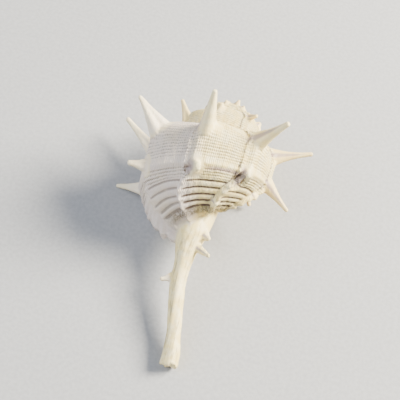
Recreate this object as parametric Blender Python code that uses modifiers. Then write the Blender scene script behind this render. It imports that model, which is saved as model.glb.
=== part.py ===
"""Spiny murex shell, one grown piece, modelled in metres with +Z up.

The wall is a spiral loft: one whorl outline, wound about the coiling axis and shrunk by a constant ratio
per turn, turned over at the outer lip and taken back in as the mouth's hollow. Every seventh of a turn a
former lip (a varix) stands out as a ridge that carries open, tapering spines. A long siphonal canal
closes the lower end. The shell lies on its mouth side, on the canal's tip and the lip's spines.

Shell frame, in millimetres: z runs up the coiling axis to the apex, azimuth 0 is the back and faces -y,
and positive azimuth is towards +x. The growth angle counts degrees back from the mouth's edge.
"""
import math

import bmesh
import bpy
import numpy as np
from mathutils import Euler, Matrix, Vector

MM = 0.001

# Coiling
APEX_Z = 41.5
GROWTH = 1.65               # size ratio from one whorl to the next
TURNS = 4.6
LIP_AZIMUTH = -130.0        # the mouth's edge
VARIX_SPACING = 360.0 / 7
FIRST_CREST = 12.0          # the last varix lies this far back from the mouth's edge
RESORBED = (295.0, 400.0)   # growth angles whose varix is worn down beside the mouth
SPIRE_RISE = 3.0            # how much the earlier whorls stand above the last one's spiral
FRILL = 2.1                 # spacing of the frills down a varix
FLANGE = 0.5                # how much further than the last varix the mouth's lower edge flares
SCALLOP = 2.6               # spacing of the scallops on the mouth's edge

# Outline of the wall at the mouth's edge, (depth below the apex, radius), from the suture to the neck
OUTLINE = [
    (11.3, 8.6), (12.6, 12.2), (14.4, 15.6), (16.5, 18.6), (18.6, 20.4), (21.3, 21.3), (25.3, 21.5),
    (30.2, 20.7), (34.4, 18.6), (38.2, 15.4), (41.2, 12.0), (43.1, 9.0), (44.3, 6.0),
]
SHOULDER = 18.6             # depth of the upper row of spines
LOWER = 29.8                # depth of the lower row
BASAL = 36.0                # depth of the small row near the neck

# Mouth
MOUTH_DEPTH, MOUTH_RADIUS = 28.6, 11.6
MOUTH_HALF_HEIGHT, MOUTH_HALF_WIDTH = 11.6, 8.6
WALL = 1.9
MOUTH_REACH = 165.0         # degrees that the hollow runs back

# Siphonal canal, (z, offset to the side, offset to the belly, half width)
CANAL = [
    (15.0, 0.0, 0.6, 3.4), (10.5, -0.2, 1.5, 4.7), (5.0, -1.2, 1.4, 5.1), (0.0, -1.5, 0.4, 4.4), (-5.0, -1.85, 0.2, 3.35),
    (-10.0, -1.75, 0.2, 2.45), (-15.0, -1.8, 0.1, 2.35), (-20.0, -1.05, 0.0, 2.25), (-25.0, -0.15, 0.0, 2.15),
    (-30.0, 0.8, 0.0, 2.1), (-35.0, 1.5, 0.0, 2.4), (-38.8, 1.7, 0.0, 2.6),
]
SLIT_TOP = 7.0
SLIT_WIDTH = 0.9
SLIT_DEPTH = 2.1
SLIT_AZIMUTH = (-180.0, -138.0)     # along the canal, and where it opens into the mouth

# Inner lip, a smooth pad beside the mouth, (z, azimuth, distance from the axis, half width)
INNER_LIP = [
    (-1.0, -158.0, 3.4, 0.9), (4.0, -152.0, 5.0, 1.7), (10.0, -148.0, 5.8, 2.2), (15.5, -147.0, 7.6, 2.3),
    (20.5, -146.0, 10.8, 2.2), (25.0, -142.0, 12.6, 1.9), (28.6, -137.0, 12.8, 1.1),
]

# Spines: lengths of the whole ones, the broken ones and the low scales
LIP_SPINE, UPPER_SPINE, LOWER_SPINE = 16.0, 13.0, 11.0
BROKEN, STUMP, SCALE = 7.0, 4.0, 4.5
YOUNG_LEAN, OLD_LEAN = 38.0, 20.0   # of the upper row to the spire: the first three, and the older ones
DROOP = 10.0                        # of the lower row: this much more from each varix to the next older one
BENT_BACK = 20.0                    # the lip's spine turns back from the mouth by this, the third one by half

# crest number, depth, length, lean to the spire, swing to the mouth, half width, tip half width, taper, half angle of
# the open side
SPINES = [
    (0, SHOULDER, LIP_SPINE, YOUNG_LEAN, -BENT_BACK, 3.0, 0.75, 1.8, 0.45),
    (1, SHOULDER, UPPER_SPINE, YOUNG_LEAN, 0.0, 4.2, 0.55, 1.25, 0.45),
    (2, SHOULDER, UPPER_SPINE, YOUNG_LEAN, -0.5 * BENT_BACK, 4.2, 0.75, 1.15, 0.8),
    (3, SHOULDER, UPPER_SPINE, OLD_LEAN, 0.0, 3.6, 0.80, 1.7, 0.5),
    (4, SHOULDER, UPPER_SPINE, OLD_LEAN, 0.0, 3.2, 0.70, 2.2, 0.45),
    (5, SHOULDER, UPPER_SPINE, OLD_LEAN, 0.0, 2.5, 0.70, 1.8, 0.45),
    (6, SHOULDER, STUMP, YOUNG_LEAN, 0.0, 2.3, 0.80, 1.8, 0.45),
    (7, 17.4, LOWER_SPINE, 60.0, 0.0, 3.2, 0.60, 1.8, 0.45),
    (10, 17.6, STUMP, 0.0, 0.0, 1.4, 0.62, 1.8, 0.45),
    (24, 14.0, 0.5 * STUMP, 70.0, 0.0, 1.4, 0.40, 1.4, 0.3),
    (0, LOWER, LOWER_SPINE, 0.0, 0.0, 2.8, 0.66, 1.8, 0.45),
    (1, LOWER, BROKEN, -DROOP, 0.0, 2.9, 0.75, 1.7, 0.45),
    (2, 31.4, SCALE, -2 * DROOP, -40.0, 2.9, 1.10, 1.1, 1.1),
    (3, 30.7, SCALE, -3 * DROOP, 15.0, 2.2, 0.65, 1.1, 1.1),
    (4, LOWER, LOWER_SPINE, -4 * DROOP, 0.0, 2.6, 0.62, 1.8, 0.45),
    (5, LOWER, BROKEN, -5 * DROOP, 0.0, 2.1, 0.66, 1.8, 0.45),
    (3, 41.0, 0.5 * STUMP, -50.0, 0.0, 1.5, 0.60, 1.8, 0.45),
    (4, BASAL, 0.5 * STUMP, -50.0, 0.0, 1.2, 0.60, 1.8, 0.45),
]
SPIRE_CRESTS = (9, 11, 12, 13, 14, 15, 16, 17, 18, 19, 20, 21, 22, 23)
SPIRE_STUB = 4.2            # length of a worn spire spine at the mouth's scale

# Spines of the canal: z, azimuth, length, half width
CANAL_LEAN = -25.0
CANAL_SPINES = [(-14.5, -90.0, 3.0, 1.4), (-4.5, 60.0, 5.0, 1.5), (-0.5, 60.0, 2.0, 1.9)]

# Rest
REST_PITCH = 13.52          # the spire's end is raised by this
REST_ROLL = 0.82
WEAR = 0.35                 # depth of the worn flats where the shell touches

# Fineness
VOXEL = 0.50
KEEP = 0.095                # share of the remeshed faces that the decimation keeps

COLOUR = (0.76, 0.70, 0.60)
ROUGHNESS = 0.55


def clear_scene():
    for item in list(bpy.data.objects):
        bpy.data.objects.remove(item, do_unlink=True)
    for group in list(bpy.data.collections):
        bpy.data.collections.remove(group)


def smooth_step(value, low, high):
    t = np.clip((np.asarray(value, float) - low) / (high - low), 0.0, 1.0)
    return t * t * (3.0 - 2.0 * t)


def bump(value, centre, width):
    return np.exp(-((np.asarray(value, float) - centre) / width) ** 2)


def curve_points(knots, count):
    """count points evenly spaced along the smooth curve through the knots"""
    p = np.array(knots, float)
    p = np.vstack([2 * p[0] - p[1], p, 2 * p[-1] - p[-2]])
    t = np.linspace(0.0, 1.0, 24, endpoint=False)[:, None]
    runs = []
    for a, b, c, d in zip(p[:-3], p[1:-2], p[2:-1], p[3:]):
        cubic = -a + 3 * b - 3 * c + d
        square = 2 * a - 5 * b + 4 * c - d
        runs.append(0.5 * (2 * b + (c - a) * t + square * t ** 2 + cubic * t ** 3))
    runs = np.vstack(runs + [p[-2:-1]])
    length = np.concatenate([[0.0], np.cumsum(np.linalg.norm(np.diff(runs, axis=0), axis=1))])
    at = np.linspace(0.0, length[-1], count)
    return np.stack([np.interp(at, length, column) for column in runs.T], axis=1)


def size_at(growth):
    return GROWTH ** (-np.asarray(growth, float) / 360.0)


def spire_rise(growth):
    return SPIRE_RISE * smooth_step(growth, 90.0, 560.0) * (1.0 - 0.6 * smooth_step(growth, 800.0, 1700.0))


def shell_point(growth, depth, radius):
    """Shell-frame position of a point of the outline at a growth angle"""
    k = size_at(growth)
    azimuth = np.radians(LIP_AZIMUTH + np.asarray(growth, float))
    z = APEX_Z + spire_rise(growth) - depth * k
    return np.stack([radius * k * np.sin(azimuth), -radius * k * np.cos(azimuth), z], axis=-1)


def varix_lead(growth, depth):
    """Degrees by which a varix runs nearer to the mouth at its lower end than at the shoulder"""
    lead = 4.0 * smooth_step(depth, 18.0, 22.0) + 17.0 * smooth_step(depth, 30.5, 40.0)
    return lead * smooth_step(growth, 10.0, 70.0)


def past_crest(growth, depth):
    """Degrees back from the nearest varix crest, from -12"""
    return np.mod(growth + varix_lead(growth, depth) - FIRST_CREST + 12.0, VARIX_SPACING) - 12.0


def varix_height(growth, depth):
    """How far a varix lifts the wall: a slow rise from the older side, then a trough and a thin frill above the
    keel, or a steep drop below it"""
    growth, depth = np.broadcast_arrays(np.asarray(growth, float), np.asarray(depth, float))
    past = past_crest(growth, depth)
    lower = smooth_step(depth, 31.5, 35.0)
    crest = 1.6 + 1.3 * bump(depth, SHOULDER, 3.2) + 0.9 * bump(depth, LOWER + 0.8, 2.4)
    crest = crest + lower * (0.5 + 0.35 * np.cos(2.0 * math.pi * (depth - 37.6) / FRILL))
    crest = crest * (1.0 - 0.45 * smooth_step(growth, 320.0, 370.0) * (1.0 - smooth_step(growth, 430.0, 470.0)))
    worn = (growth > RESORBED[0]) & (growth < RESORBED[1])
    crest = np.where(worn, crest * (1.0 - 0.75 * smooth_step(depth, 20.0, 27.0)), crest)
    last = growth < FIRST_CREST
    scallops = (1.0 - smooth_step(growth, 2.0, FIRST_CREST)) * 0.4 * np.cos(2.0 * math.pi * depth / SCALLOP)
    crest = np.where(last, crest + scallops, crest)

    width = 10.0 - 4.0 * lower + 0.8 * np.cos(2.0 * math.pi * depth / 1.7)
    ahead = np.clip(-past / width, 0.0, 1.0)
    trough = 1.0 - 0.72 * smooth_step(ahead, 0.0, 0.6) + 0.32 * bump(ahead, 0.84, 0.13)
    drop = 1.0 - smooth_step(ahead, 0.1, 1.0)
    young = (trough + (drop - trough) * lower) * (1.0 - smooth_step(ahead, 0.92, 1.0))
    flange = FLANGE * smooth_step(depth, 32.0, 36.0) * (1.0 - smooth_step(depth, 42.0, 45.6))
    to_lip = np.clip(1.0 - growth / FIRST_CREST, 0.0, 1.0)
    young = np.where(last, 1.0 - (0.5 - flange) * to_lip, young)
    old = (1.0 - np.clip(past / (39.4 - 12.0 * lower), 0.0, 1.0)) ** (1.6 + 0.6 * lower)
    reach = smooth_step(depth, 12.2, 15.0) * (1.0 - 0.55 * smooth_step(depth, 38.0, 46.0))
    return crest * young * old * reach


def growth_angles(step, last):
    """Loft stations: even, with more of them about each varix"""
    angles = list(np.arange(0.0, last, step))
    for number in range(int(last / VARIX_SPACING) + 1):
        crest = FIRST_CREST + number * VARIX_SPACING
        angles += list(np.arange(crest - 32.0, crest + 2.0, 0.6 * step))
    angles = np.array(sorted(a for a in angles if 0.0 <= a <= last))
    return angles[np.concatenate([[True], np.diff(angles) > 0.3])]


def whorl_section(growth, rows, raised=1.0):
    """The outline at one growth angle, closed along a line just past the axis"""
    depth, radius = rows.T
    slope = np.gradient(rows, axis=0)
    slope /= np.linalg.norm(slope, axis=1)[:, None]
    lift = raised * varix_height(growth, depth)
    depth = depth - lift * slope[:, 1]
    radius = radius + lift * slope[:, 0]
    back = np.linspace(rows[-1, 0], rows[0, 0], 12)
    return np.concatenate([depth, back]), np.concatenate([radius, np.full(12, -1.0)])


def loft(rings):
    """Vertices and faces of a closed loft with flat ends"""
    count = len(rings[0])
    faces = []
    for ring in range(len(rings) - 1):
        for side in range(count):
            a = ring * count + side
            b = ring * count + (side + 1) % count
            faces.append((a, b, b + count, a + count))
    faces.append(tuple(reversed(range(count))))
    faces.append(tuple((len(rings) - 1) * count + side for side in range(count)))
    return np.vstack(rings), faces


def whorls(step=3.0, points=64):
    """The wound wall, turned over at the mouth and taken back inside as the hollow"""
    rows = curve_points(OUTLINE, points)
    rings = []
    for growth in growth_angles(step, 360.0 * TURNS)[::-1]:
        rings.append(shell_point(growth, *whorl_section(growth, rows)))
    depth, radius = whorl_section(0.0, rows, 0.0)
    down, out = depth - MOUTH_DEPTH, radius - MOUTH_RADIUS
    reach = np.hypot(down, out)
    oval = reach / np.hypot(down / MOUTH_HALF_HEIGHT, out / MOUTH_HALF_WIDTH)
    room = np.minimum(oval, reach - WALL)
    for share in np.linspace(0.0, 1.0, 24) ** 1.5:
        growth = share * MOUTH_REACH
        scale = (1.0 + 0.4 * WALL / room * (1.0 - smooth_step(growth, 0.0, 5.0))) * (1.0 - 0.3 * share ** 2)
        inner_depth = MOUTH_DEPTH + down / reach * room * scale
        inner_radius = MOUTH_RADIUS + out / reach * room * scale
        rings.append(shell_point(growth, inner_depth, inner_radius))
    return loft(rings)


def canal(points=40, sides=24):
    """The siphonal canal: a tube about a gently bowed line"""
    turn = np.linspace(0.0, 2 * math.pi, sides, endpoint=False)
    rings = []
    for z, side, belly, half in curve_points(CANAL, points)[::-1]:
        rings.append(np.stack([side + half * np.cos(turn), belly + half * np.sin(turn), np.full(sides, z)], axis=1))
    return loft(rings)


def inner_lip(points=26, sides=16):
    """A smooth pad up the mouth's inner side"""
    turn = np.linspace(0.0, 2 * math.pi, sides, endpoint=False)
    rings = []
    for z, azimuth, distance, half in curve_points(INNER_LIP, points):
        angle = math.radians(azimuth)
        x, y = distance * math.sin(angle), -distance * math.cos(angle)
        rings.append(np.stack([x + half * np.cos(turn), y + half * np.sin(turn), np.full(sides, z)], axis=1))
    return loft(rings)


def spine_widths(share, half, tip, taper):
    """Half widths along the lip's line and across it"""
    left = (1.0 - np.clip(share, 0.0, 1.0)) ** taper
    return tip + (half - tip) * left, tip + (0.72 * half - tip) * left


def spine(axes, length, half, tip, taper, opening, rings=16, sides=20, sink=2.6):
    """An open spine: a tapering cone, folded in along its side towards the mouth"""
    base, direction, along, forward = axes
    turn = np.linspace(0.0, 2 * math.pi, sides, endpoint=False)
    from_groove = np.mod(turn + math.pi / 2, 2 * math.pi) - math.pi
    sections = []
    for share in np.linspace(-sink / length, 1.0, rings):
        reach = min(max(share, 0.0), 1.0)
        wide, thick = spine_widths(share, half, tip, taper)
        if share > 0.98:
            wide, thick = 0.7 * wide, 0.7 * thick
        shut = 0.75 if opening < 0.9 else 0.1
        fold = 1.0 - 0.62 * (1.0 - shut * reach) * np.exp(-(from_groove / opening) ** 2)
        centre = base + direction * length * share
        across = np.outer(wide * np.cos(turn) * fold, along)
        sections.append(centre + across + np.outer(-thick * np.sin(turn) * fold, forward))
    return loft(sections)


def spine_axes(azimuth, lean, swing):
    """Direction of a spine, with the lip's line and the way of growth across it"""
    azimuth, lean, swing = math.radians(azimuth), math.radians(lean), math.radians(swing)
    radial = np.array([math.sin(azimuth), -math.cos(azimuth), 0.0])
    growing = np.array([-math.cos(azimuth), -math.sin(azimuth), 0.0])
    flat = math.cos(swing) * radial + math.sin(swing) * growing
    direction = math.cos(lean) * flat + np.array([0.0, 0.0, math.sin(lean)])
    forward = growing - direction * direction.dot(growing)
    forward /= np.linalg.norm(forward)
    return direction, np.cross(forward, direction), forward


def all_spines():
    """(base and axes, length, half width, tip, taper, opening) of every spine"""
    rows = curve_points(OUTLINE, 300)
    found = []
    table = list(SPINES)
    for crest in SPIRE_CRESTS:
        k = float(size_at(FIRST_CREST + crest * VARIX_SPACING))
        table.append((crest, 17.2, SPIRE_STUB * k, 50.0, 0.0, 3.6 * k, 1.5 * k, 1.5, 0.45))
    for crest, depth, length, lean, swing, half, tip, taper, opening in table:
        growth = FIRST_CREST + crest * VARIX_SPACING
        growth -= float(varix_lead(growth, depth))
        base = shell_point(growth, depth, np.interp(depth, rows[:, 0], rows[:, 1]))
        found.append(((base, *spine_axes(LIP_AZIMUTH + growth, lean, swing)), length, half, tip, taper, opening))
    line = curve_points(CANAL, 200)[::-1]
    for z, azimuth, length, half in CANAL_SPINES:
        side, belly, width = (np.interp(z, line[:, 0], line[:, column]) for column in (1, 2, 3))
        turn = math.radians(azimuth)
        base = np.array([side + width * math.sin(turn), belly - width * math.cos(turn), z])
        found.append(((base, *spine_axes(azimuth, CANAL_LEAN, 0.0)), length, half, 0.55, 1.8, 0.45))
    return found


def canal_slit():
    """Cutter for the canal's open slit, along its belly side and into the mouth"""
    rings = []
    for z, side, belly, half in curve_points(CANAL, 40)[::-1]:
        if z > SLIT_TOP:
            continue
        if z < -38.5:
            z -= 1.0
        share = float(smooth_step(z, -10.0, 5.0))
        angle = math.radians(SLIT_AZIMUTH[0] + share * (SLIT_AZIMUTH[1] - SLIT_AZIMUTH[0]))
        out = np.array([math.sin(angle), -math.cos(angle)])
        across = np.array([-out[1], out[0]]) * 0.5 * SLIT_WIDTH
        near, far = (np.array([side, belly]) + out * reach for reach in (half - SLIT_DEPTH, half + 2.5))
        corners = [near + across, near - across, far - across, far + across]
        rings.append(np.array([(x, y, z) for x, y in corners]))
    return loft(rings)


def all_pieces():
    pieces = [whorls(), canal(), inner_lip()]
    for axes, length, half, tip, taper, opening in all_spines():
        pieces.append(spine(axes, length, half, tip, taper, opening, sink=min(2.6, length)))
    return pieces


def mesh_object(name, pieces, group):
    """One object from lofts, in metres, with each loft's faces turned outwards"""
    form = bmesh.new()
    for verts, faces in pieces:
        made = [form.verts.new(Vector(v) * MM) for v in verts]
        added = [form.faces.new([made[i] for i in face]) for face in faces]
        bmesh.ops.recalc_face_normals(form, faces=added)
    mesh = bpy.data.meshes.new(name)
    form.to_mesh(mesh)
    form.free()
    item = bpy.data.objects.new(name, mesh)
    group.objects.link(item)
    return item


def rest_matrix():
    """Lays the shell on its mouth side with the spire towards +Y"""
    lay = Matrix(((1, 0, 0), (0, 0, 1), (0, -1, 0))).to_4x4()
    return Euler((math.radians(REST_PITCH), math.radians(REST_ROLL), 0.0)).to_matrix().to_4x4() @ lay


def shell_material():
    material = bpy.data.materials.new("murex_shell")
    material.use_nodes = True
    shader = material.node_tree.nodes["Principled BSDF"]
    shader.inputs["Base Color"].default_value = (*COLOUR, 1.0)
    shader.inputs["Roughness"].default_value = ROUGHNESS
    shader.inputs["Metallic"].default_value = 0.0
    return material


def apply_modifiers(item):
    """Replaces the object's mesh by its evaluated one"""
    graph = bpy.context.evaluated_depsgraph_get()
    mesh = bpy.data.meshes.new_from_object(item.evaluated_get(graph))
    item.modifiers.clear()
    item.data = mesh


def main():
    clear_scene()
    group = bpy.data.collections.new("murex_shell")
    cutters = bpy.data.collections.new("murex_shell_cutters")
    for collection in (group, cutters):
        bpy.context.scene.collection.children.link(collection)

    shell = mesh_object("shell", all_pieces(), group)
    remesh = shell.modifiers.new("Grow together", "REMESH")
    remesh.mode = "VOXEL"
    remesh.voxel_size = VOXEL * MM
    remesh.use_smooth_shade = True
    thin = shell.modifiers.new("Thin out", "DECIMATE")
    thin.ratio = KEEP
    apply_modifiers(shell)

    slit = mesh_object("canal_slit", [canal_slit()], cutters)
    slit.hide_render = True
    slit.display_type = "WIRE"
    cut = shell.modifiers.new("Canal slit", "BOOLEAN")
    cut.operation = "DIFFERENCE"
    cut.solver = "EXACT"
    cut.object = slit
    apply_modifiers(shell)

    pose = rest_matrix()
    shell.data.transform(pose)
    slit.data.transform(pose)
    corners = np.array([vertex.co[:] for vertex in shell.data.vertices])
    low, high = corners.min(axis=0), corners.max(axis=0)
    shift = Vector((-0.5 * (low[0] + high[0]), -0.5 * (low[1] + high[1]), -low[2] - WEAR * MM))
    for item in (shell, slit):
        item.data.transform(Matrix.Translation(shift))

    form = bmesh.new()
    form.from_mesh(shell.data)
    geometry = form.verts[:] + form.edges[:] + form.faces[:]
    bmesh.ops.bisect_plane(form, geom=geometry, plane_co=(0, 0, 0), plane_no=(0, 0, -1), clear_outer=True)
    bmesh.ops.holes_fill(form, edges=[edge for edge in form.edges if edge.is_boundary], sides=0)
    form.to_mesh(shell.data)
    form.free()
    shell.data.shade_smooth()
    shell.data.materials.clear()
    shell.data.materials.append(shell_material())


main()
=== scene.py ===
"""Looks of the spiny murex shell.

The same spiral loft as the solid's, grown together at a finer pitch, then given its relief (cords, grooves,
keel, growth ridges, scalloped varices) in the shell's own coordinates, and a procedural shell material.
"""
import math

import bmesh
import bpy
import numpy as np
from mathutils import Euler, Matrix, Vector, noise


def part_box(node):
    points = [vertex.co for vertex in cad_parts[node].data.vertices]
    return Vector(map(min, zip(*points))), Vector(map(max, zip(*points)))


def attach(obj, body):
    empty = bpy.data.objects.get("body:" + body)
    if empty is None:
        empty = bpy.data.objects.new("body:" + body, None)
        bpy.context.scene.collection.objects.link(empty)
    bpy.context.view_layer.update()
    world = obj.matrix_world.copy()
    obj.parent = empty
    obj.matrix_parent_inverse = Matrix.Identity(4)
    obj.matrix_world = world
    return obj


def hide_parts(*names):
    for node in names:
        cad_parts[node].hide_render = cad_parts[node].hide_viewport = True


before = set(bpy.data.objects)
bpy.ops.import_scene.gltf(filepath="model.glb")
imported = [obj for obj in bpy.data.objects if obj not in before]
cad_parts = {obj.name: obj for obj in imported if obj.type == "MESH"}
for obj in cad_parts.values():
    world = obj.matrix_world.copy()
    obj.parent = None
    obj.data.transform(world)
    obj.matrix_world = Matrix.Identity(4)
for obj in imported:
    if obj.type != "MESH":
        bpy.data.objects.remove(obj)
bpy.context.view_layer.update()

MM = 0.001

# ---------------------------------------------------------------- the shell's form, mm and degrees

APEX_Z = 41.5
GROWTH = 1.65               # size ratio from one whorl to the next
TURNS = 4.6
LIP_AZIMUTH = -130.0        # the mouth's edge
VARIX_SPACING = 360.0 / 7
FIRST_CREST = 12.0          # the last varix lies this far back from the mouth's edge
RESORBED = (295.0, 400.0)   # growth angles whose varix is worn down beside the mouth
SPIRE_RISE = 3.0            # how much the earlier whorls stand above the last one's spiral
FRILL = 2.1                 # spacing of the frills down a varix
FLANGE = 0.5                # how much further than the last varix the mouth's lower edge flares
SCALLOP = 2.6               # spacing of the scallops on the mouth's edge

# Outline of the wall at the mouth's edge, (depth below the apex, radius), from the suture to the neck
OUTLINE = [
    (11.3, 8.6), (12.6, 12.2), (14.4, 15.6), (16.5, 18.6), (18.6, 20.4), (21.3, 21.3), (25.3, 21.5),
    (30.2, 20.7), (34.4, 18.6), (38.2, 15.4), (41.2, 12.0), (43.1, 9.0), (44.3, 6.0),
]
SHOULDER = 18.6             # depth of the upper row of spines
LOWER = 29.8                # depth of the lower row
BASAL = 36.0                # depth of the small row near the neck

# Mouth
MOUTH_DEPTH, MOUTH_RADIUS = 28.6, 11.6
MOUTH_HALF_HEIGHT, MOUTH_HALF_WIDTH = 11.6, 8.6
WALL = 1.9
MOUTH_REACH = 165.0         # degrees that the hollow runs back

# Siphonal canal, (z, offset to the side, offset to the belly, half width)
CANAL = [
    (15.0, 0.0, 0.6, 3.4), (10.5, -0.2, 1.5, 4.7), (5.0, -1.2, 1.4, 5.1), (0.0, -1.5, 0.4, 4.4),
    (-5.0, -1.85, 0.2, 3.35), (-10.0, -1.75, 0.2, 2.45), (-15.0, -1.8, 0.1, 2.35), (-20.0, -1.05, 0.0, 2.25),
    (-25.0, -0.15, 0.0, 2.15), (-30.0, 0.8, 0.0, 2.1), (-35.0, 1.5, 0.0, 2.4), (-38.8, 1.7, 0.0, 2.6),
]
SLIT_TOP = 7.0
SLIT_WIDTH = 0.9
SLIT_DEPTH = 2.1
SLIT_AZIMUTH = (-180.0, -138.0)     # along the canal, and where it opens into the mouth

# Inner lip, a smooth pad beside the mouth, (z, azimuth, distance from the axis, half width)
INNER_LIP = [
    (-1.0, -158.0, 3.4, 0.9), (4.0, -152.0, 5.0, 1.7), (10.0, -148.0, 5.8, 2.2), (15.5, -147.0, 7.6, 2.3),
    (20.5, -146.0, 10.8, 2.2), (25.0, -142.0, 12.6, 1.9), (28.6, -137.0, 12.8, 1.1),
]

# Spines: lengths of the whole ones, the broken ones and the low scales
LIP_SPINE, UPPER_SPINE, LOWER_SPINE = 16.0, 13.0, 11.0
BROKEN, STUMP, SCALE = 7.0, 4.0, 4.5
YOUNG_LEAN, OLD_LEAN = 38.0, 20.0   # of the upper row to the spire: the first three, and the older ones
DROOP = 10.0                        # of the lower row: this much more from each varix to the next older one
BENT_BACK = 20.0                    # the lip's spine turns back from the mouth by this, the third one by half

# crest number, depth, length, lean to the spire, swing to the mouth, half width, tip half width, taper, half angle of
# the open side
SPINES = [
    (0, SHOULDER, LIP_SPINE, YOUNG_LEAN, -BENT_BACK, 3.0, 0.75, 1.8, 0.45),
    (1, SHOULDER, UPPER_SPINE, YOUNG_LEAN, 0.0, 4.2, 0.55, 1.25, 0.45),
    (2, SHOULDER, UPPER_SPINE, YOUNG_LEAN, -0.5 * BENT_BACK, 4.2, 0.75, 1.15, 0.8),
    (3, SHOULDER, UPPER_SPINE, OLD_LEAN, 0.0, 3.6, 0.80, 1.7, 0.5),
    (4, SHOULDER, UPPER_SPINE, OLD_LEAN, 0.0, 3.2, 0.70, 2.2, 0.45),
    (5, SHOULDER, UPPER_SPINE, OLD_LEAN, 0.0, 2.5, 0.70, 1.8, 0.45),
    (6, SHOULDER, STUMP, YOUNG_LEAN, 0.0, 2.3, 0.80, 1.8, 0.45),
    (7, 17.4, LOWER_SPINE, 60.0, 0.0, 3.2, 0.60, 1.8, 0.45),
    (10, 17.6, STUMP, 0.0, 0.0, 1.4, 0.62, 1.8, 0.45),
    (24, 14.0, 0.5 * STUMP, 70.0, 0.0, 1.4, 0.40, 1.4, 0.3),
    (0, LOWER, LOWER_SPINE, 0.0, 0.0, 2.8, 0.66, 1.8, 0.45),
    (1, LOWER, BROKEN, -DROOP, 0.0, 2.9, 0.75, 1.7, 0.45),
    (2, 31.4, SCALE, -2 * DROOP, -40.0, 2.9, 1.10, 1.1, 1.1),
    (3, 30.7, SCALE, -3 * DROOP, 15.0, 2.2, 0.65, 1.1, 1.1),
    (4, LOWER, LOWER_SPINE, -4 * DROOP, 0.0, 2.6, 0.62, 1.8, 0.45),
    (5, LOWER, BROKEN, -5 * DROOP, 0.0, 2.1, 0.66, 1.8, 0.45),
    (3, 41.0, 0.5 * STUMP, -50.0, 0.0, 1.5, 0.60, 1.8, 0.45),
    (4, BASAL, 0.5 * STUMP, -50.0, 0.0, 1.2, 0.60, 1.8, 0.45),
]
SPIRE_CRESTS = (9, 11, 12, 13, 14, 15, 16, 17, 18, 19, 20, 21, 22, 23)
SPIRE_STUB = 4.2            # length of a worn spire spine at the mouth's scale

# Spines of the canal: z, azimuth, length, half width
CANAL_LEAN = -25.0
CANAL_SPINES = [(-14.5, -90.0, 3.0, 1.4), (-4.5, 60.0, 5.0, 1.5), (-0.5, 60.0, 2.0, 1.9)]

# Rest
REST_PITCH = 13.52          # the spire's end is raised by this
REST_ROLL = 0.82
WEAR = 0.35                 # depth of the worn flats where the shell touches

VOXEL = 0.28                # pitch at which the lofts are grown together

# Relief at the mouth's scale
KEEL = 31.0                 # depth of the keel that joins the lower spines
CORD_PITCH = 1.02           # fine cords, along the outline
BAND_GROOVES = (35.5, 37.5, 39.4, 41.0, 42.3)
GROOVE_WIDTH, GROOVE_DEPTH = 0.38, 0.48
BEADED_CORD = 43.2
GROWTH_RIDGE, FINE_RIDGE, BEAD = 6.3, 2.9, 5.2      # degrees from one to the next
FLUTE = 1.5                 # spacing of the flutes on the mouth's flaring edge
# Hollow sides of the two open scales on the keel: growth angle, depth, half width in degrees, half height, sunk by
SCALE_HOLLOWS = [(106.6, 32.8, 5.0, 2.0, 1.1), (159.0, 33.8, 9.5, 3.1, 1.9)]


def smooth_step(value, low, high):
    t = np.clip((np.asarray(value, float) - low) / (high - low), 0.0, 1.0)
    return t * t * (3.0 - 2.0 * t)


def bump(value, centre, width):
    return np.exp(-((np.asarray(value, float) - centre) / width) ** 2)


def curve_points(knots, count):
    """count points evenly spaced along the smooth curve through the knots"""
    p = np.array(knots, float)
    p = np.vstack([2 * p[0] - p[1], p, 2 * p[-1] - p[-2]])
    t = np.linspace(0.0, 1.0, 24, endpoint=False)[:, None]
    runs = []
    for a, b, c, d in zip(p[:-3], p[1:-2], p[2:-1], p[3:]):
        cubic = -a + 3 * b - 3 * c + d
        square = 2 * a - 5 * b + 4 * c - d
        runs.append(0.5 * (2 * b + (c - a) * t + square * t ** 2 + cubic * t ** 3))
    runs = np.vstack(runs + [p[-2:-1]])
    length = np.concatenate([[0.0], np.cumsum(np.linalg.norm(np.diff(runs, axis=0), axis=1))])
    at = np.linspace(0.0, length[-1], count)
    return np.stack([np.interp(at, length, column) for column in runs.T], axis=1)


def size_at(growth):
    return GROWTH ** (-np.asarray(growth, float) / 360.0)


def spire_rise(growth):
    return SPIRE_RISE * smooth_step(growth, 90.0, 560.0) * (1.0 - 0.6 * smooth_step(growth, 800.0, 1700.0))


def shell_point(growth, depth, radius):
    """Shell-frame position of a point of the outline at a growth angle"""
    k = size_at(growth)
    azimuth = np.radians(LIP_AZIMUTH + np.asarray(growth, float))
    z = APEX_Z + spire_rise(growth) - depth * k
    return np.stack([radius * k * np.sin(azimuth), -radius * k * np.cos(azimuth), z], axis=-1)


def varix_lead(growth, depth):
    """Degrees by which a varix runs nearer to the mouth at its lower end than at the shoulder"""
    lead = 4.0 * smooth_step(depth, 18.0, 22.0) + 17.0 * smooth_step(depth, 30.5, 40.0)
    return lead * smooth_step(growth, 10.0, 70.0)


def past_crest(growth, depth):
    """Degrees back from the nearest varix crest, from -12"""
    return np.mod(growth + varix_lead(growth, depth) - FIRST_CREST + 12.0, VARIX_SPACING) - 12.0


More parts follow.
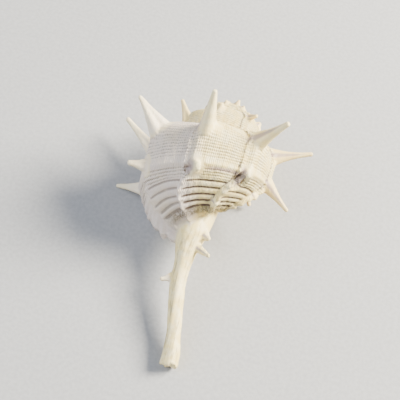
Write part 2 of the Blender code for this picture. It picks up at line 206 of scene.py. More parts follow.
def varix_height(growth, depth):
    """How far a varix lifts the wall: a slow rise from the older side, then a trough and a thin frill above the
    keel, or a steep drop below it"""
    growth, depth = np.broadcast_arrays(np.asarray(growth, float), np.asarray(depth, float))
    past = past_crest(growth, depth)
    lower = smooth_step(depth, 31.5, 35.0)
    crest = 1.6 + 1.3 * bump(depth, SHOULDER, 3.2) + 0.9 * bump(depth, LOWER + 0.8, 2.4)
    crest = crest + lower * (0.5 + 0.35 * np.cos(2.0 * math.pi * (depth - 37.6) / FRILL))
    crest = crest * (1.0 - 0.45 * smooth_step(growth, 320.0, 370.0) * (1.0 - smooth_step(growth, 430.0, 470.0)))
    worn = (growth > RESORBED[0]) & (growth < RESORBED[1])
    crest = np.where(worn, crest * (1.0 - 0.75 * smooth_step(depth, 20.0, 27.0)), crest)
    last = growth < FIRST_CREST
    scallops = (1.0 - smooth_step(growth, 2.0, FIRST_CREST)) * 0.4 * np.cos(2.0 * math.pi * depth / SCALLOP)
    crest = np.where(last, crest + scallops, crest)

    width = 10.0 - 4.0 * lower + 0.8 * np.cos(2.0 * math.pi * depth / 1.7)
    ahead = np.clip(-past / width, 0.0, 1.0)
    trough = 1.0 - 0.72 * smooth_step(ahead, 0.0, 0.6) + 0.32 * bump(ahead, 0.84, 0.13)
    drop = 1.0 - smooth_step(ahead, 0.1, 1.0)
    young = (trough + (drop - trough) * lower) * (1.0 - smooth_step(ahead, 0.92, 1.0))
    flange = FLANGE * smooth_step(depth, 32.0, 36.0) * (1.0 - smooth_step(depth, 42.0, 45.6))
    to_lip = np.clip(1.0 - growth / FIRST_CREST, 0.0, 1.0)
    young = np.where(last, 1.0 - (0.5 - flange) * to_lip, young)
    old = (1.0 - np.clip(past / (39.4 - 12.0 * lower), 0.0, 1.0)) ** (1.6 + 0.6 * lower)
    reach = smooth_step(depth, 12.2, 15.0) * (1.0 - 0.55 * smooth_step(depth, 38.0, 46.0))
    return crest * young * old * reach


def growth_angles(step, last):
    """Loft stations: even, with more of them about each varix"""
    angles = list(np.arange(0.0, last, step))
    for number in range(int(last / VARIX_SPACING) + 1):
        crest = FIRST_CREST + number * VARIX_SPACING
        angles += list(np.arange(crest - 32.0, crest + 2.0, 0.6 * step))
    angles = np.array(sorted(a for a in angles if 0.0 <= a <= last))
    return angles[np.concatenate([[True], np.diff(angles) > 0.3])]


def whorl_section(growth, rows, raised=1.0):
    """The outline at one growth angle, closed along a line just past the axis"""
    depth, radius = rows.T
    slope = np.gradient(rows, axis=0)
    slope /= np.linalg.norm(slope, axis=1)[:, None]
    lift = raised * varix_height(growth, depth)
    depth = depth - lift * slope[:, 1]
    radius = radius + lift * slope[:, 0]
    back = np.linspace(rows[-1, 0], rows[0, 0], 12)
    return np.concatenate([depth, back]), np.concatenate([radius, np.full(12, -1.0)])


def loft(rings):
    """Vertices and faces of a closed loft with flat ends"""
    count = len(rings[0])
    faces = []
    for ring in range(len(rings) - 1):
        for side in range(count):
            a = ring * count + side
            b = ring * count + (side + 1) % count
            faces.append((a, b, b + count, a + count))
    faces.append(tuple(reversed(range(count))))
    faces.append(tuple((len(rings) - 1) * count + side for side in range(count)))
    return np.vstack(rings), faces


def whorls(step=1.6, points=150):
    """The wound wall, turned over at the mouth and taken back inside as the hollow"""
    rows = curve_points(OUTLINE, points)
    rings = []
    for growth in growth_angles(step, 360.0 * TURNS)[::-1]:
        rings.append(shell_point(growth, *whorl_section(growth, rows)))
    depth, radius = whorl_section(0.0, rows, 0.0)
    down, out = depth - MOUTH_DEPTH, radius - MOUTH_RADIUS
    reach = np.hypot(down, out)
    oval = reach / np.hypot(down / MOUTH_HALF_HEIGHT, out / MOUTH_HALF_WIDTH)
    room = np.minimum(oval, reach - WALL)
    for share in np.linspace(0.0, 1.0, 60) ** 1.5:
        growth = share * MOUTH_REACH
        scale = (1.0 + 0.4 * WALL / room * (1.0 - smooth_step(growth, 0.0, 5.0))) * (1.0 - 0.3 * share ** 2)
        inner_depth = MOUTH_DEPTH + down / reach * room * scale
        inner_radius = MOUTH_RADIUS + out / reach * room * scale
        rings.append(shell_point(growth, inner_depth, inner_radius))
    return loft(rings)


def canal(points=120, sides=48):
    """The siphonal canal: a tube about a gently bowed line"""
    turn = np.linspace(0.0, 2 * math.pi, sides, endpoint=False)
    rings = []
    for z, side, belly, half in curve_points(CANAL, points)[::-1]:
        rings.append(np.stack([side + half * np.cos(turn), belly + half * np.sin(turn), np.full(sides, z)], axis=1))
    return loft(rings)


def inner_lip(points=60, sides=32):
    """A smooth pad up the mouth's inner side"""
    turn = np.linspace(0.0, 2 * math.pi, sides, endpoint=False)
    rings = []
    for z, azimuth, distance, half in curve_points(INNER_LIP, points):
        angle = math.radians(azimuth)
        x, y = distance * math.sin(angle), -distance * math.cos(angle)
        rings.append(np.stack([x + half * np.cos(turn), y + half * np.sin(turn), np.full(sides, z)], axis=1))
    return loft(rings)


def spine_widths(share, half, tip, taper):
    """Half widths along the lip's line and across it"""
    left = (1.0 - np.clip(share, 0.0, 1.0)) ** taper
    return tip + (half - tip) * left, tip + (0.72 * half - tip) * left


def spine(axes, length, half, tip, taper, opening, rings=40, sides=40, sink=2.6):
    """An open spine: a tapering cone, folded in along its side towards the mouth"""
    base, direction, along, forward = axes
    turn = np.linspace(0.0, 2 * math.pi, sides, endpoint=False)
    from_groove = np.mod(turn + math.pi / 2, 2 * math.pi) - math.pi
    sections = []
    for share in np.linspace(-sink / length, 1.0, rings):
        reach = min(max(share, 0.0), 1.0)
        wide, thick = spine_widths(share, half, tip, taper)
        if share > 0.98:
            wide, thick = 0.7 * wide, 0.7 * thick
        shut = 0.75 if opening < 0.9 else 0.1
        fold = 1.0 - 0.62 * (1.0 - shut * reach) * np.exp(-(from_groove / opening) ** 2)
        centre = base + direction * length * share
        across = np.outer(wide * np.cos(turn) * fold, along)
        sections.append(centre + across + np.outer(-thick * np.sin(turn) * fold, forward))
    return loft(sections)


def spine_axes(azimuth, lean, swing):
    """Direction of a spine, with the lip's line and the way of growth across it"""
    azimuth, lean, swing = math.radians(azimuth), math.radians(lean), math.radians(swing)
    radial = np.array([math.sin(azimuth), -math.cos(azimuth), 0.0])
    growing = np.array([-math.cos(azimuth), -math.sin(azimuth), 0.0])
    flat = math.cos(swing) * radial + math.sin(swing) * growing
    direction = math.cos(lean) * flat + np.array([0.0, 0.0, math.sin(lean)])
    forward = growing - direction * direction.dot(growing)
    forward /= np.linalg.norm(forward)
    return direction, np.cross(forward, direction), forward


def all_spines():
    """(base and axes, length, half width, tip, taper, opening) of every spine"""
    rows = curve_points(OUTLINE, 300)
    found = []
    table = list(SPINES)
    for crest in SPIRE_CRESTS:
        k = float(size_at(FIRST_CREST + crest * VARIX_SPACING))
        table.append((crest, 17.2, SPIRE_STUB * k, 50.0, 0.0, 3.6 * k, 1.5 * k, 1.5, 0.45))
    for crest, depth, length, lean, swing, half, tip, taper, opening in table:
        growth = FIRST_CREST + crest * VARIX_SPACING
        growth -= float(varix_lead(growth, depth))
        base = shell_point(growth, depth, np.interp(depth, rows[:, 0], rows[:, 1]))
        found.append(((base, *spine_axes(LIP_AZIMUTH + growth, lean, swing)), length, half, tip, taper, opening))
    line = curve_points(CANAL, 200)[::-1]
    for z, azimuth, length, half in CANAL_SPINES:
        side, belly, width = (np.interp(z, line[:, 0], line[:, column]) for column in (1, 2, 3))
        turn = math.radians(azimuth)
        base = np.array([side + width * math.sin(turn), belly - width * math.cos(turn), z])
        found.append(((base, *spine_axes(azimuth, CANAL_LEAN, 0.0)), length, half, 0.55, 1.8, 0.45))
    return found


def canal_slit():
    """Cutter for the canal's open slit, along its belly side and into the mouth"""
    rings = []
    for z, side, belly, half in curve_points(CANAL, 80)[::-1]:
        if z > SLIT_TOP:
            continue
        if z < -38.5:
            z -= 1.0
        share = float(smooth_step(z, -10.0, 5.0))
        angle = math.radians(SLIT_AZIMUTH[0] + share * (SLIT_AZIMUTH[1] - SLIT_AZIMUTH[0]))
        out = np.array([math.sin(angle), -math.cos(angle)])
        across = np.array([-out[1], out[0]]) * 0.5 * SLIT_WIDTH
        near, far = (np.array([side, belly]) + out * reach for reach in (half - SLIT_DEPTH, half + 2.5))
        corners = [near + across, near - across, far - across, far + across]
        rings.append(np.array([(x, y, z) for x, y in corners]))
    return loft(rings)


def mesh_object(name, pieces):
    """One object from lofts, in metres, with each loft's faces turned outwards"""
    form = bmesh.new()
    for verts, faces in pieces:
        made = [form.verts.new(Vector(v) * MM) for v in verts]
        added = [form.faces.new([made[i] for i in face]) for face in faces]
        bmesh.ops.recalc_face_normals(form, faces=added)
    mesh = bpy.data.meshes.new(name)
    form.to_mesh(mesh)
    form.free()
    item = bpy.data.objects.new(name, mesh)
    bpy.context.scene.collection.objects.link(item)
    return item


def apply_modifiers(item):
    """Replaces the object's mesh by its evaluated one"""
    graph = bpy.context.evaluated_depsgraph_get()
    mesh = bpy.data.meshes.new_from_object(item.evaluated_get(graph))
    item.modifiers.clear()
    item.data = mesh


# ---------------------------------------------------------------- relief

def whorl_coordinates(points):
    """Growth angle, depth, place along the outline and height above the varied wall, for each point"""
    rows = curve_points(OUTLINE, 420)
    along = np.concatenate([[0.0], np.cumsum(np.linalg.norm(np.diff(rows, axis=0), axis=1))])
    slope = np.gradient(rows, axis=0)
    slope /= np.linalg.norm(slope, axis=1)[:, None]
    azimuth = np.degrees(np.arctan2(points[:, 0], -points[:, 1]))
    start = np.mod(azimuth - LIP_AZIMUTH, 360.0)
    distance = np.hypot(points[:, 0], points[:, 1])
    best = {key: np.zeros(len(points)) for key in ("growth", "depth", "along", "lift")}
    score, second = np.full(len(points), 1e9), np.full(len(points), 1e9)
    for turn in range(int(TURNS) + 1):
        growth = start + 360.0 * turn
        k = size_at(growth)
        spot = np.stack([(APEX_Z + spire_rise(growth) - points[:, 2]) / k, distance / k], axis=1)
        for first in range(0, len(points), 20000):
            part = slice(first, first + 20000)
            gap = spot[part, None, :] - rows[None, :, :]
            near = np.argmin((gap ** 2).sum(axis=2), axis=1)
            offset = gap[np.arange(len(near)), near]
            height = offset[:, 1] * slope[near, 0] - offset[:, 0] * slope[near, 1]
            lift = height - varix_height(growth[part], rows[near, 0])
            miss = np.abs(lift) * k[part] + 0.3 * np.abs(np.hypot(*offset.T) - np.abs(height)) * k[part]
            better = miss < score[part]
            second[part] = np.where(better, score[part], np.minimum(second[part], miss))
            where = np.flatnonzero(better) + first
            score[where] = miss[better]
            best["growth"][where] = growth[part][better]
            best["depth"][where] = rows[near, 0][better]
            best["along"][where] = along[near][better]
            best["lift"][where] = lift[better]
    best["suture"] = bump(second, 0.0, 0.30) * (1.0 - smooth_step(score, 0.4, 0.8))
    return best


def grain(points, scale, seed=0.0):
    """Smooth noise about zero at each point"""
    return np.array([noise.noise(Vector(p) * scale + Vector((seed, 0.0, 0.0))) for p in points])


def spine_masks(points):
    """How far each point belongs to a spine, and to the hollow side of one"""
    on_spine, hollow = np.zeros(len(points)), np.zeros(len(points))
    reach_of = np.zeros(len(points))
    for (base, direction, along, forward), length, half, tip, taper, opening in all_spines():
        offset = points - base
        share = offset @ direction / length
        wide, thick = spine_widths(share, half, tip, taper)
        across, ahead = (offset @ along) / wide, (offset @ forward) / thick
        inside = (share > -0.1) & (share < 1.15) & (np.hypot(across, ahead) < 1.7)
        mask = inside * smooth_step(share, -0.02, 0.22) * (1.0 - smooth_step(np.hypot(across, ahead), 1.25, 1.7))
        groove = inside * smooth_step(ahead, 0.0, 0.35) * bump(across, 0.0, 0.93 * opening)
        groove = groove * smooth_step(share, -0.1, 0.05)
        reach_of = np.where(mask > on_spine, np.clip(share, 0.0, 1.0), reach_of)
        on_spine = np.maximum(on_spine, mask)
        # the hollow mask marks where the material paints plum shade
        hollow = np.maximum(hollow, groove * (1.0 - 0.6 * smooth_step(share, 0.5, 1.0)))
    return on_spine, hollow, reach_of


def groove_pattern(depth):
    """The sunk lines between the flat bands below the keel"""
    total = np.zeros(len(depth))
    for line in BAND_GROOVES:
        total = np.maximum(total, bump(depth, line, GROOVE_WIDTH))
    return total


def carve(points, normals):
    """Moved points and the masks that the material reads"""
    at = whorl_coordinates(points)
    growth, depth, along, lift = at["growth"], at["depth"], at["along"], at["lift"]
    k = size_at(growth)
    on_spine, hollow, reach = spine_masks(points)
    wall = 1.0 - smooth_step(np.abs(lift) * k, 0.45, 1.1)
    wall *= (1.0 - on_spine) * smooth_step(depth, 12.6, 13.4) * (1.0 - smooth_step(depth, 43.8, 44.8))
    past = past_crest(growth, depth)
    crease = past + 10.0 - 4.0 * smooth_step(depth, 31.5, 35.0)

    wander = grain(points, 0.22, 3.0)
    fine = grain(points, 0.9, 11.0)
    bands = groove_pattern(depth + 0.25 * wander)
    keel = bump(depth, KEEL - 0.5, 0.55)
    cords = np.cos(2.0 * math.pi * along / CORD_PITCH + 1.5 * wander + 0.8 * fine)
    cords *= np.clip(0.85 + 0.15 * np.cos(math.pi * along / CORD_PITCH) + 0.9 * wander, 0.4, 1.25)
    cord_zone = smooth_step(depth, 13.5, 15.0) * (1.0 - smooth_step(depth, 28.0, 29.6))
    below_keel = smooth_step(depth, KEEL + 0.2, KEEL + 0.8) * (1.0 - smooth_step(depth, 34.6, 35.2))
    ridges = np.cos(math.tau * growth / GROWTH_RIDGE + 3.0 * wander) + 0.7 * np.cos(math.tau * growth / FINE_RIDGE)
    beads = 0.6 + 0.4 * np.cos(math.tau * growth / BEAD + 2.0 * fine)
    beads = bump(depth, BEADED_CORD, 0.5) * smooth_step(growth, 30.0, 60.0) * beads
    suture = at["suture"] * smooth_step(growth, 20.0, 60.0) * (1.0 - on_spine)
    quiet = smooth_step(crease, -1.0, 1.0) * (1.0 - smooth_step(past, 1.0, 6.0))
    bands = bands * (1.0 - 0.75 * quiet) * (0.25 + 0.75 * smooth_step(growth, 36.0, 56.0))

    relief = 0.11 * cords * (cord_zone + below_keel) * (1.0 - 0.6 * quiet)
    relief += 0.30 * keel - GROOVE_DEPTH * bands
    relief += 0.045 * ridges * (1.0 - 0.7 * bands)
    relief += 0.28 * beads
    relief += 0.40 * fine * smooth_step(depth, 39.5, 41.5) * smooth_step(growth, 112.0, 140.0)
    relief += 0.10 * wander + 0.06 * fine
    relief *= wall * k ** 0.7
    relief -= 0.35 * suture
    flutes = smooth_step(depth, 31.0, 35.0) * (1.0 - smooth_step(growth, 10.0, 36.0))
    flutes *= 1.0 - smooth_step(depth, 43.0, 44.5)
    relief += 0.24 * flutes * np.cos(2.0 * math.pi * depth / FLUTE) * (1.0 - smooth_step(np.abs(lift), 0.8, 1.6))
    for turned, down, half_turn, half_height, sunk in SCALE_HOLLOWS:
        hole = 1.0 - smooth_step(np.hypot((growth - turned) / half_turn, (depth - down) / half_height), 0.55, 1.1)
        hole *= 1.0 - smooth_step(np.abs(lift), 1.8, 3.0)
        relief -= sunk * hole
        # the scales' pits join the hollow mask, which the material paints with plum shade
        hollow = np.maximum(hollow, min(1.0, 0.7 * sunk) * hole)

    stem = smooth_step(-points[:, 2], -3.0, 3.0) * (1.0 - wall)
    angle = np.arctan2(points[:, 0], -points[:, 1])
    relief += stem * (0.07 * np.cos(7.0 * angle + 0.12 * points[:, 2]) + 0.16 * wander + 0.05 * fine)
    relief += on_spine * (0.10 * wander + 0.05 * fine)

    moved = points + normals * relief[:, None]
    end = smooth_step(-points[:, 2], 37.6, 39.0)
    moved[:, 2] += end * (0.9 * grain(points, 0.55, 20.0) + 0.4 * fine)

    masks = {
        "growth": growth, "wall": wall, "bands": bands * wall,
        "cords": wall * (cord_zone + below_keel) * (0.5 - 0.5 * cords), "spine": on_spine, "hollow": hollow,
        "reach": reach, "stem": stem, "suture": suture, "crease": crease, "depth": depth, "lift": lift * k,
    }
    return moved, masks


def laplace(mesh, rounds, factor=0.5):
    """Smoothed vertex positions"""
    points = np.empty(len(mesh.vertices) * 3)
    mesh.vertices.foreach_get("co", points)
    points = points.reshape(-1, 3)
    ends = np.empty(len(mesh.edges) * 2, dtype=np.int64)
    mesh.edges.foreach_get("vertices", ends)
    a, b = ends.reshape(-1, 2).T
    degree = np.bincount(a, minlength=len(points)) + np.bincount(b, minlength=len(points))
    for step in range(rounds):
        for weight in (factor, -factor * 1.04):
            total = np.zeros_like(points)
            for axis in range(3):
                total[:, axis] += np.bincount(a, points[b, axis], len(points))
                total[:, axis] += np.bincount(b, points[a, axis], len(points))
            points = points + weight * (total / degree[:, None] - points)
    return points


def grown_shell():
    """The whole shell in its own frame, with relief and masks"""
    pieces = [whorls(), canal(), inner_lip()]
    for axes, length, half, tip, taper, opening in all_spines():
        pieces.append(spine(axes, length, half, tip, taper, opening, sink=min(2.6, length)))
    shell = mesh_object("murex_shell", pieces)
    remesh = shell.modifiers.new("Grow together", "REMESH")
    remesh.mode = "VOXEL"
    remesh.voxel_size = VOXEL * MM
    apply_modifiers(shell)

    slit = mesh_object("slit_cutter", [canal_slit()])
    cut = shell.modifiers.new("Canal slit", "BOOLEAN")
    cut.operation = "DIFFERENCE"
    cut.solver = "EXACT"
    cut.object = slit
    again = shell.modifiers.new("Even out", "REMESH")
    again.mode = "VOXEL"
    again.voxel_size = VOXEL * MM
    again.use_smooth_shade = True
    apply_modifiers(shell)
    bpy.data.objects.remove(slit, do_unlink=True)

    points = laplace(shell.data, 6)
    shell.data.vertices.foreach_set("co", points.ravel())
    shell.data.update()
    normals = np.empty(len(points) * 3)
    shell.data.vertex_normals.foreach_get("vector", normals)
    moved, masks = carve(points / MM, normals.reshape(-1, 3))
    shell.data.vertices.foreach_set("co", (moved * MM).ravel())
    shell.data.update()
    for name, values in masks.items():
        layer = shell.data.attributes.new(name, "FLOAT", "POINT")
        layer.data.foreach_set("value", values.astype(np.float32))
    place = shell.data.attributes.new("place", "FLOAT_VECTOR", "POINT")
    place.data.foreach_set("vector", moved.astype(np.float32).ravel())
    return shell


def rest_matrix():
    """Lays the shell on its mouth side with the spire towards +Y"""
    lay = Matrix(((1, 0, 0), (0, 0, 1), (0, -1, 0))).to_4x4()
    return Euler((math.radians(REST_PITCH), math.radians(REST_ROLL), 0.0)).to_matrix().to_4x4() @ lay


def lay_down(shell):
    """Turns the shell to its rest, sets it over the solid it replaces and flattens its worn points"""
    low, high = (np.array(corner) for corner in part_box("shell"))
    shell.data.transform(rest_matrix())
    corners = np.array([vertex.co[:] for vertex in shell.data.vertices])
    shift = 0.5 * (low + high) - 0.5 * (corners.min(axis=0) + corners.max(axis=0))
    shift[2] = -corners[:, 2].min() - WEAR * MM
    shell.data.transform(Matrix.Translation(Vector(shift)))
    corners = np.array([vertex.co[:] for vertex in shell.data.vertices])
    corners[:, 2] = np.maximum(corners[:, 2], 0.0)
    shell.data.vertices.foreach_set("co", corners.ravel())
    shell.data.update()
    shell.data.shade_smooth()


# ---------------------------------------------------------------- material

class Nodes:
    """Short ways to add shader nodes to one material"""

    def __init__(self, name):
        self.material = bpy.data.materials.new(name)
        self.material.use_nodes = True
        self.tree = self.material.node_tree
        self.shader = self.tree.nodes["Principled BSDF"]

    def link(self, source, target):
        self.tree.links.new(source, target)

    def put(self, node, index, value):
        if isinstance(value, bpy.types.NodeSocket):
            self.link(value, node.inputs[index])
        else:
            node.inputs[index].default_value = value

    def attribute(self, name, output="Fac"):
        node = self.tree.nodes.new("ShaderNodeAttribute")
        node.attribute_name = name
        return node.outputs[output]

    def math(self, operation, a, b=0.0, c=0.0, clamp=False):
        node = self.tree.nodes.new("ShaderNodeMath")
        node.operation = operation
        node.use_clamp = clamp
        for index, value in enumerate((a, b, c)):
            self.put(node, index, value)
        return node.outputs[0]

    def ramp(self, value, low, high, to_low=0.0, to_high=1.0):
        node = self.tree.nodes.new("ShaderNodeMapRange")
        node.interpolation_type = "SMOOTHSTEP"
        for index, item in enumerate((value, low, high, to_low, to_high)):
            self.put(node, index, item)
        return node.outputs[0]

    def noise(self, vector, scale, detail=3.0, roughness=0.55, stretch=None):
        if stretch is not None:
            mapping = self.tree.nodes.new("ShaderNodeMapping")
            self.link(vector, mapping.inputs["Vector"])
            mapping.inputs["Scale"].default_value = stretch
            vector = mapping.outputs[0]
        node = self.tree.nodes.new("ShaderNodeTexNoise")
        self.link(vector, node.inputs["Vector"])
        node.inputs["Scale"].default_value = scale
        node.inputs["Detail"].default_value = detail
        node.inputs["Roughness"].default_value = roughness
        return node.outputs["Fac"]

    def wave(self, value, period, shift=0.0):
        """0 to 1, once per period of the value"""
        turned = self.math("MULTIPLY_ADD", value, 2.0 * math.pi / period, shift)
        return self.math("MULTIPLY_ADD", self.math("COSINE", turned), 0.5, 0.5)

    def mix(self, factor, a, b):
        node = self.tree.nodes.new("ShaderNodeMix")
        node.data_type = "RGBA"
        self.put(node, 0, factor)
        for index, colour in ((6, a), (7, b)):
            self.put(node, index, colour if isinstance(colour, bpy.types.NodeSocket) else (*colour, 1.0))
        return node.outputs[2]

    def bump(self, height, distance, strength=1.0, normal=None):
        node = self.tree.nodes.new("ShaderNodeBump")
        node.inputs["Strength"].default_value = strength
        node.inputs["Distance"].default_value = distance
        self.link(height, node.inputs["Height"])
        if normal is not None:
            self.link(normal, node.inputs["Normal"])
        return node.outputs[0]


CREAM = (0.88, 0.70, 0.29)
IVORY = (0.94, 0.82, 0.48)
# partly the shell's own lavender tint, partly painted bluish shade on the side turned from the key lamp
LAVENDER = (0.85, 0.73, 0.68)
OCHRE = (0.17, 0.12, 0.055)
HONEY = (0.46, 0.34, 0.27)
AMBER = (0.84, 0.60, 0.24)
GROOVE_BROWN = (0.13, 0.088, 0.065)
# painted shade for the hollow sides of the spines and the open scales
SHADE_PLUM = (0.30, 0.225, 0.25)
MOUTH = (0.80, 0.67, 0.50)


def shell_material():
    n = Nodes("murex_shell")
    place = n.attribute("place", "Vector")
    growth, wall = n.attribute("growth"), n.attribute("wall")
    bands, cords = n.attribute("bands"), n.attribute("cords")
    spine, hollow, reach = n.attribute("spine"), n.attribute("hollow"), n.attribute("reach")
    stem, depth, lift = n.attribute("stem"), n.attribute("depth"), n.attribute("lift")
    crease = n.attribute("crease")

    broad = n.noise(place, 0.09, 2.0)
    mottle = n.noise(place, 0.45, 4.0)
    speck = n.noise(place, 2.2, 4.0)
    streak = n.noise(place, 1.0, 3.0, stretch=(1.1, 1.1, 0.10))

    colour = n.mix(n.ramp(mottle, 0.35, 0.7), CREAM, IVORY)

    # the younger side of the back, turned from the key lamp, is tinted lavender, and so is the outer lip: partly the
    # shell's own tint, partly painted bluish shade
    lavender_tint_and_shade = n.math("MULTIPLY", n.ramp(growth, 122.0, 100.0), n.ramp(broad, 0.2, 0.6, 0.55, 0.85))
    lavender_tint_and_shade = n.math("MULTIPLY", lavender_tint_and_shade, n.math("MAXIMUM", wall, n.math("MULTIPLY", spine, 0.8)))
    colour = n.mix(lavender_tint_and_shade, colour, LAVENDER)

    # fine cords keep ochre in their grooves, broken up by growth lines
    lines = n.wave(growth, 1.7)
    broken = n.math("MULTIPLY", n.ramp(cords, 0.35, 0.85), n.ramp(lines, 0.1, 0.8, 0.25, 1.0))
    patchy = n.math("MULTIPLY", broken, n.ramp(mottle, 0.36, 0.58, 0.35, 1.0))
    patchy = n.math("MULTIPLY", patchy, n.ramp(speck, 0.35, 0.6, 0.55, 1.0))
    colour = n.mix(patchy, colour, OCHRE)
    colour = n.mix(n.math("MULTIPLY", wall, n.math("MULTIPLY", n.ramp(lines, 0.6, 1.0), 0.20)), colour, OCHRE)

    # golden line below the keel, dark grooves between the bands, brown about the beaded cord
    under_keel = n.math("MULTIPLY", n.ramp(depth, 30.9, 31.4), n.ramp(depth, 32.8, 31.8))
    here = n.math("MULTIPLY", n.ramp(growth, 118.0, 126.0), n.ramp(growth, 176.0, 150.0, 0.25, 1.0))
    here = n.math("MULTIPLY", n.math("MAXIMUM", here, 0.18), wall)
    under_keel = n.math("MULTIPLY", n.math("MULTIPLY", under_keel, here), n.ramp(mottle, 0.3, 0.6, 0.5, 1.0))
    colour = n.mix(under_keel, colour, HONEY)
    base_brown = n.math("MULTIPLY", n.ramp(depth, 42.0, 42.7), n.ramp(depth, 44.0, 43.4))
    base_brown = n.math("MULTIPLY", n.math("MULTIPLY", base_brown, wall), n.ramp(speck, 0.35, 0.6, 0.2, 0.8))
    base_brown = n.math("MULTIPLY", base_brown, n.ramp(growth, 40.0, 70.0, 0.05, 1.0))
    colour = n.mix(base_brown, colour, OCHRE)
    sunk = n.math("MULTIPLY", n.ramp(bands, 0.3, 0.9), n.ramp(mottle, 0.25, 0.5, 0.7, 1.0))
    sunk = n.math("MULTIPLY", sunk, n.ramp(growth, 88.0, 104.0, 0.62, 1.0))
    colour = n.mix(sunk, colour, GROOVE_BROWN)

    # painted shade in the crease in front of each varix
    step = n.math("MULTIPLY", n.ramp(crease, -1.6, -0.5), n.ramp(crease, 0.9, -0.1))
    step = n.math("MULTIPLY", n.math("MULTIPLY", step, wall), n.ramp(mottle, 0.4, 0.6, 0.1, 0.8))
    step = n.math("MULTIPLY", step, n.ramp(growth, 108.0, 130.0, 0.35, 1.0))
    colour = n.mix(step, colour, GROOVE_BROWN)
    suture = n.math("MULTIPLY", n.ramp(n.attribute("suture"), 0.3, 0.85), n.ramp(mottle, 0.3, 0.6, 0.6, 0.95))
    colour = n.mix(suture, colour, GROOVE_BROWN)

    # spines: ivory points, yellower on the older side, painted plum shade in their open side
    colour = n.mix(n.math("MULTIPLY", spine, n.ramp(reach, 0.1, 0.9, 0.10, 0.60)), colour, IVORY)
    aged = n.math("MULTIPLY", spine, n.ramp(growth, 185.0, 205.0))
    aged = n.math("MULTIPLY", aged, n.ramp(mottle, 0.3, 0.6, 0.25, 0.65))
    colour = n.mix(aged, colour, AMBER)
    # painted shade: plum in the hollow sides of the spines and of the open scales
    colour = n.mix(n.math("MULTIPLY", n.ramp(hollow, 0.3, 0.95), 0.75), colour, SHADE_PLUM)

    # canal: long faint streaks
    colour = n.mix(n.math("MULTIPLY", stem, n.ramp(streak, 0.50, 0.66, 0.0, 0.50)), colour, OCHRE)
    colour = n.mix(n.math("MULTIPLY", stem, n.ramp(speck, 0.66, 0.74, 0.0, 0.35)), colour, GROOVE_BROWN)

    # the mouth's inside is warm and smooth
    inside = n.ramp(lift, -0.7, -1.3)
    inside = n.math("MULTIPLY", inside, n.ramp(stem, 0.5, 0.0))
    colour = n.mix(inside, colour, MOUTH)
    n.link(colour, n.shader.inputs["Base Color"])

    rough = n.ramp(speck, 0.3, 0.7, 0.42, 0.62)
    rough = n.math("MULTIPLY_ADD", inside, -0.22, rough)
    rough = n.math("MULTIPLY_ADD", sunk, 0.25, rough, clamp=True)
    n.link(rough, n.shader.inputs["Roughness"])

    height = n.math("MULTIPLY", n.math("MULTIPLY", lines, wall), 0.6)
    height = n.math("MULTIPLY_ADD", n.wave(growth, 0.8), n.math("MULTIPLY", wall, 0.25), height)
    height = n.math("MULTIPLY_ADD", cords, -0.7, height)
    height = n.math("MULTIPLY_ADD", streak, n.math("MULTIPLY", n.math("ADD", stem, spine), 0.9), height)
    height = n.math("MULTIPLY_ADD", speck, 0.5, height)
    height = n.math("MULTIPLY_ADD", inside, n.math("MULTIPLY", height, -0.85), height)
    n.link(n.bump(height, 0.00016, 1.0), n.shader.inputs["Normal"])

    n.shader.inputs["Metallic"].default_value = 0.0
    n.shader.inputs["Specular IOR Level"].default_value = 0.42
    n.shader.inputs["Subsurface Weight"].default_value = 0.06
    n.shader.inputs["Subsurface Radius"].default_value = (1.0, 0.7, 0.5)
    n.shader.inputs["Subsurface Scale"].default_value = 0.0008
    return n.material


# ---------------------------------------------------------------- floor, light and camera

FLOOR_GREYS = ((0.35, 0.352, 0.36), (0.40, 0.402, 0.41))


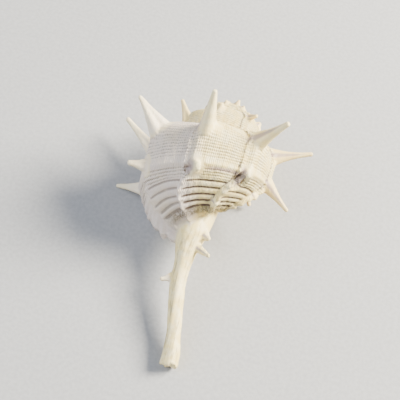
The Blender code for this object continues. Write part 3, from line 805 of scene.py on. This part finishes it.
def floor():
    bpy.ops.mesh.primitive_plane_add(size=3.0)
    plane = bpy.context.object
    plane.name = "floor"
    n = Nodes("floor")
    texture = n.tree.nodes.new("ShaderNodeTexCoord")
    cloud = n.noise(texture.outputs["Object"], 900.0, 3.0)
    n.link(n.mix(n.ramp(cloud, 0.3, 0.7), *FLOOR_GREYS), n.shader.inputs["Base Color"])
    n.shader.inputs["Roughness"].default_value = 0.85
    plane.data.materials.append(n.material)


def area_light(name, toward, distance, size, power, colour, aim):
    """A square light at a distance from the aim, along the direction toward"""
    lamp = bpy.data.lights.new(name, "AREA")
    lamp.energy = power
    lamp.size = size
    lamp.color = colour
    item = bpy.data.objects.new(name, lamp)
    bpy.context.scene.collection.objects.link(item)
    direction = Vector(toward).normalized()
    item.location = Vector(aim) + direction * distance
    item.rotation_euler = direction.to_track_quat("Z", "Y").to_euler()


AIM = (-0.0002, 0.0060, 0.0165)
CAMERA_DISTANCE = 0.300
CAMERA_ELEVATION = 59.5
CAMERA_AZIMUTH = 1.4
CAMERA_ROLL = 13.4
CAMERA_ANGLE = 21.9


def camera():
    lens = bpy.data.cameras.new("camera")
    lens.angle = math.radians(CAMERA_ANGLE)
    lens.clip_start = 0.01
    item = bpy.data.objects.new("camera", lens)
    bpy.context.scene.collection.objects.link(item)
    elevation, azimuth = math.radians(CAMERA_ELEVATION), math.radians(CAMERA_AZIMUTH)
    out = Vector((math.sin(azimuth), -math.cos(azimuth), math.tan(elevation))).normalized()
    turn = out.to_track_quat("Z", "Y").to_matrix().to_4x4() @ Matrix.Rotation(math.radians(CAMERA_ROLL), 4, "Z")
    item.matrix_world = Matrix.Translation(Vector(AIM) + out * CAMERA_DISTANCE) @ turn
    bpy.context.scene.camera = item


def light():
    area_light("key", (1.0, 0.5, 0.8), 0.75, 0.34, 38.0, (1.0, 0.94, 0.80), AIM)
    area_light("fill", (-0.8, -0.3, 0.8), 0.9, 0.8, 11.0, (0.78, 0.86, 1.0), AIM)
    world = bpy.context.scene.world or bpy.data.worlds.new("world")
    bpy.context.scene.world = world
    world.use_nodes = True
    background = world.node_tree.nodes["Background"]
    background.inputs[0].default_value = (0.97, 0.975, 1.0, 1.0)
    background.inputs[1].default_value = 0.30


shell = grown_shell()
lay_down(shell)
shell.data.materials.clear()
shell.data.materials.append(shell_material())
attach(shell, "root")
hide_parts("shell")
floor()
light()
camera()
